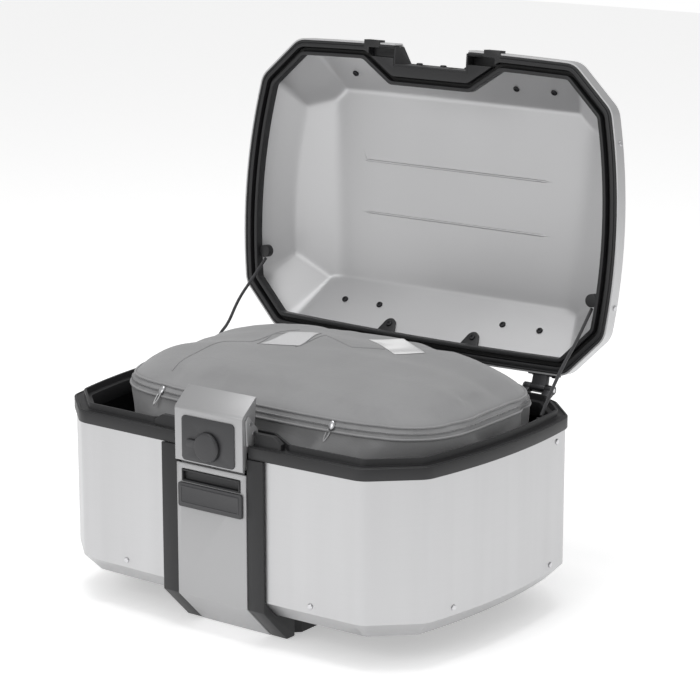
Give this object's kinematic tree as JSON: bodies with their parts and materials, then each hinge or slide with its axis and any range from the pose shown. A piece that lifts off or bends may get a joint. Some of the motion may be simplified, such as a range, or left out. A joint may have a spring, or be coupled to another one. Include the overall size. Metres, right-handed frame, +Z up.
{
  "type": "motorcycle top case",
  "caption": "Hard aluminium motorcycle top case with rounded corners, shown open: hinged lid on limit cords, swing-down front latch with lock, mounting foot, soft inner bag.",
  "frame": {"origin": "centre of the flat underside of the mounting foot, midway between its bolt holes", "axes": "+X to the right side seen from the latch, -Y towards the latch, +Z up"},
  "size_m": [0.5638, 0.5123, 0.6432],
  "materials": {
    "sheet_aluminium": "satin brushed, anodised",
    "silver_paint": "satin silver paint",
    "black_plastic": "fine-grained, matt",
    "liner_plastic": "moulded, matt",
    "lock_plastic": "moulded, satin",
    "badge_gloss": "moulded, gloss",
    "seal_rubber": "extruded sponge seal",
    "bright_steel": "zinc plated",
    "insert_brass": "turned",
    "dark_steel": "black coated",
    "cord": "braided",
    "bag_fabric": "coated woven polyester"
  },
  "bodies": {
    "base": {"liner_tub": "liner_plastic", "skin_left": "sheet_aluminium", "skin_right": "sheet_aluminium", "rear_seam_cover": "black_plastic", "rim_frame": "black_plastic", "skin_rivets": "bright_steel", "mount_foot": "black_plastic", "carrier_inserts": "insert_brass", "bolt_spring": "bright_steel", "column_strip_left": "black_plastic", "column_strip_right": "black_plastic", "column_panel": "silver_paint", "recess_trim": "black_plastic", "badge_plate": "badge_gloss", "latch_bracket": "silver_paint", "cheek_studs": "bright_steel", "latch_pin": "bright_steel", "hinge_leaf_base_left": "dark_steel", "hinge_leaf_base_right": "dark_steel", "hinge_pin_left": "bright_steel", "hinge_pin_right": "bright_steel", "hinge_screws_base": "dark_steel", "cord_boss_base_left": "black_plastic", "cord_boss_base_right": "black_plastic", "limit_cord_left": "cord", "limit_cord_right": "cord", "inner_bag": "bag_fabric"},
    "lid": {"lid_shell": "sheet_aluminium", "lid_frame": "black_plastic", "lid_gasket": "seal_rubber", "lid_catch": "black_plastic", "lid_catch_screws": "dark_steel", "lid_inner_screws": "dark_steel", "lid_tab_left": "black_plastic", "lid_tab_right": "black_plastic", "lid_tab_screws": "dark_steel", "lid_rivets": "bright_steel", "hinge_leaf_lid_left": "dark_steel", "hinge_leaf_lid_right": "dark_steel", "hinge_screws_lid": "dark_steel", "cord_boss_lid_left": "black_plastic", "cord_boss_lid_right": "black_plastic"},
    "latch": {"latch_cover": "silver_paint", "lock_plate": "lock_plastic"},
    "lock": {"dust_cover": "lock_plastic", "lock_cylinder": "bright_steel", "lock_cam": "bright_steel"},
    "carrier_bolt": {"carrier_bolt": "bright_steel"}
  },
  "joints": [
    {"name": "lid_hinge", "type": "hinge", "parent": "base", "child": "lid", "pos_m": [0, 0.20825, 0.24165], "axis": [1, 0, 0], "range_deg": [0, 95], "deforming": ["limit_cord_left", "limit_cord_right"]},
    {"name": "latch_hinge", "type": "hinge", "parent": "base", "child": "latch", "pos_m": [0, -0.1926, 0.211], "axis": [1, 0, 0], "range_deg": [0, 30]},
    {"name": "lock_turn", "type": "hinge", "parent": "latch", "child": "lock", "pos_m": [0, -0.2, 0.229], "axis": [0, 1, 0], "range_deg": [0, 90]},
    {"name": "carrier_bolt_slide", "type": "slide", "parent": "base", "child": "carrier_bolt", "axis": [0, 1, 0], "range_m": [0, 0.0055], "stiffness_N_per_m": 600, "springref_m": -0.004, "deforming": ["bolt_spring"]}
  ]
}
